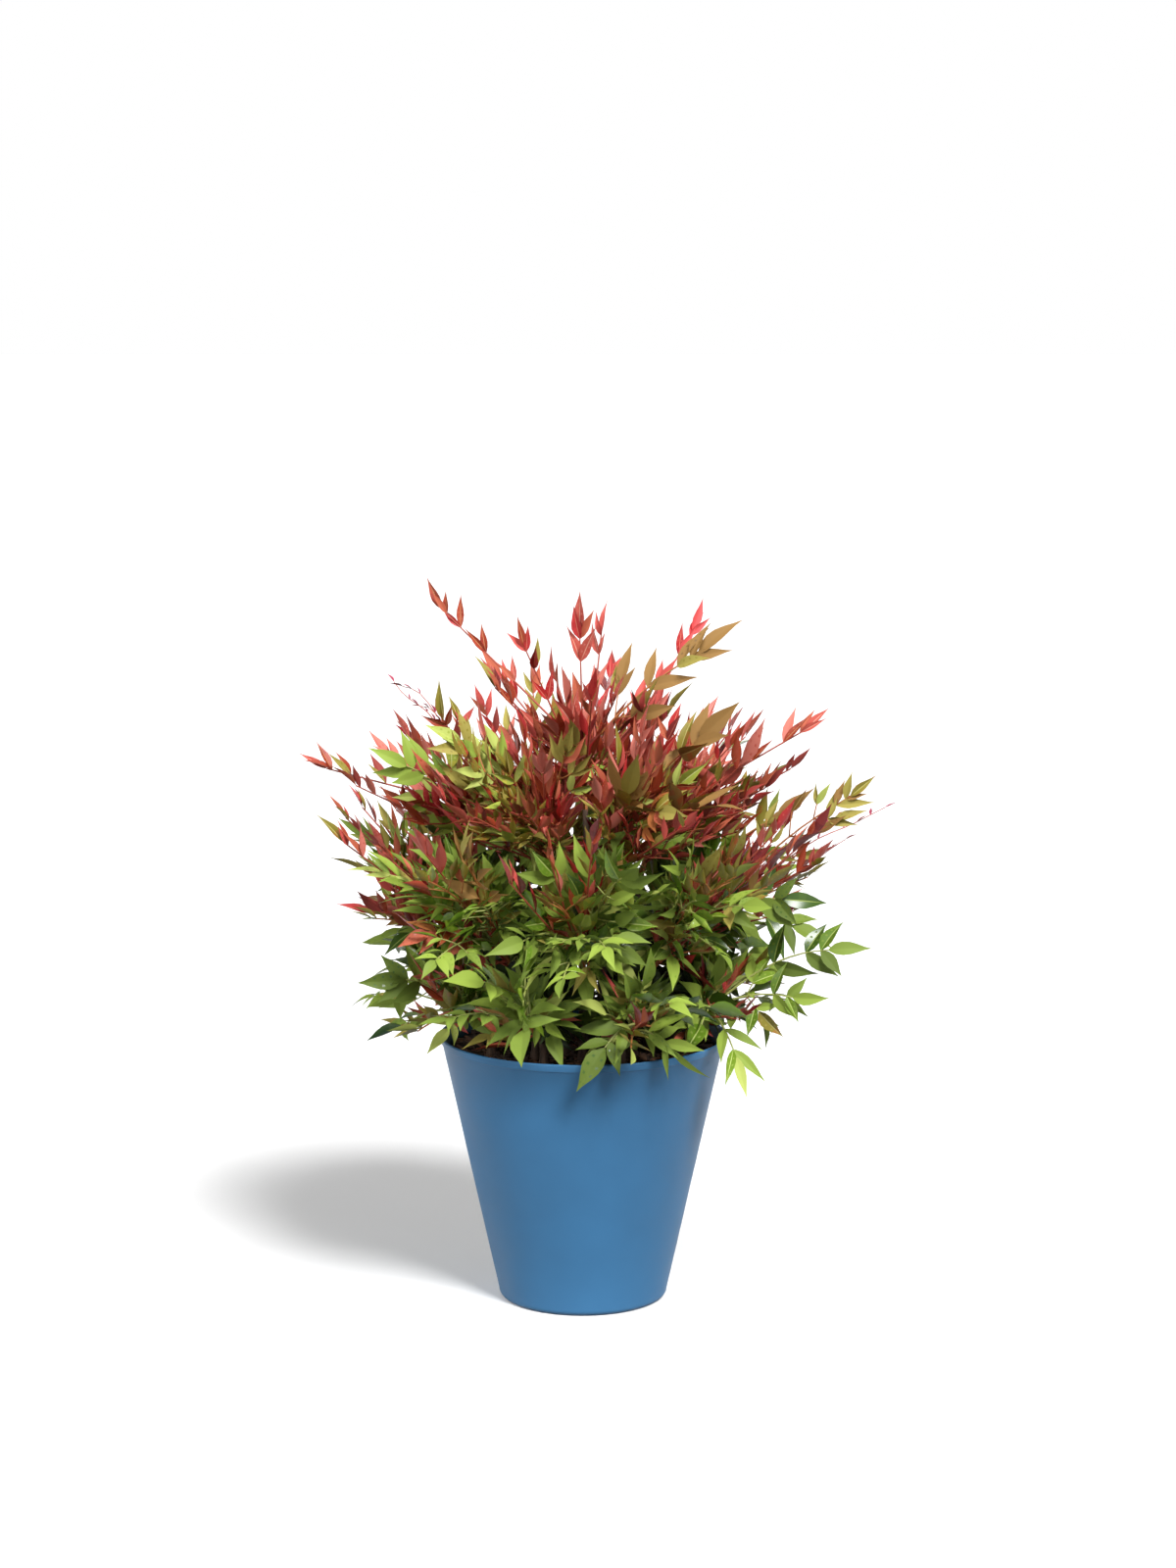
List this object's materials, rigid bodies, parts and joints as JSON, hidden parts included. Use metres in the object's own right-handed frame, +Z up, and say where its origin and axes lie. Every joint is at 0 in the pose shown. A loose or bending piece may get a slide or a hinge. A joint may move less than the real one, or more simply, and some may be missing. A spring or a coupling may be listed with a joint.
{
  "type": "potted heavenly bamboo shrub",
  "caption": "Low, dense heavenly bamboo shrub with red, bronze and green leaves, in a plain tapered round blue pot with a narrow rim band.",
  "frame": {"origin": "middle of the pot's flat underside", "axes": "+Z up along the pot's axis; -Y towards the viewer of the picture, +X to that viewer's right"},
  "size_m": [0.5782, 0.4832, 0.7072],
  "materials": {
    "pot_plastic": "satin blue moulded plastic, faintly mottled, with a smooth narrow rim band",
    "potting_mix": "dark crumbly potting mix with bark chips",
    "cane_bark": "dark brown ridged cane bark",
    "foliage_red": "satin red and crimson young leaves with a paler midrib",
    "foliage_bronze": "satin bronze, olive and orange leaves",
    "foliage_green": "glossy mid green older leaves with a pale midrib"
  },
  "bodies": {
    "root": {"pot": "pot_plastic", "potting_mix": "potting_mix", "cane_crest": "cane_bark", "cane_upper_1": "cane_bark", "cane_upper_2": "cane_bark", "cane_upper_3": "cane_bark", "cane_upper_4": "cane_bark", "cane_upper_5": "cane_bark", "cane_upper_6": "cane_bark", "cane_middle_1": "cane_bark", "cane_middle_2": "cane_bark", "cane_middle_3": "cane_bark", "cane_middle_4": "cane_bark", "cane_middle_5": "cane_bark", "cane_middle_6": "cane_bark", "cane_middle_7": "cane_bark", "cane_middle_8": "cane_bark", "cane_skirt_1": "cane_bark", "cane_skirt_2": "cane_bark", "cane_skirt_3": "cane_bark", "cane_skirt_4": "cane_bark", "cane_skirt_5": "cane_bark", "cane_skirt_6": "cane_bark", "cane_skirt_7": "cane_bark", "cane_skirt_8": "cane_bark", "foliage_crest": "foliage_red", "foliage_upper_1": "foliage_red", "foliage_upper_2": "foliage_red", "foliage_upper_3": "foliage_red", "foliage_upper_4": "foliage_red", "foliage_upper_5": "foliage_red", "foliage_upper_6": "foliage_red", "foliage_middle_1": "foliage_bronze", "foliage_middle_2": "foliage_bronze", "foliage_middle_3": "foliage_bronze", "foliage_middle_4": "foliage_bronze", "foliage_middle_5": "foliage_bronze", "foliage_middle_6": "foliage_bronze", "foliage_middle_7": "foliage_bronze", "foliage_middle_8": "foliage_bronze", "foliage_skirt_1": "foliage_green", "foliage_skirt_2": "foliage_green", "foliage_skirt_3": "foliage_green", "foliage_skirt_4": "foliage_green", "foliage_skirt_5": "foliage_green", "foliage_skirt_6": "foliage_green", "foliage_skirt_7": "foliage_green", "foliage_skirt_8": "foliage_green"}
  },
  "joints": []
}
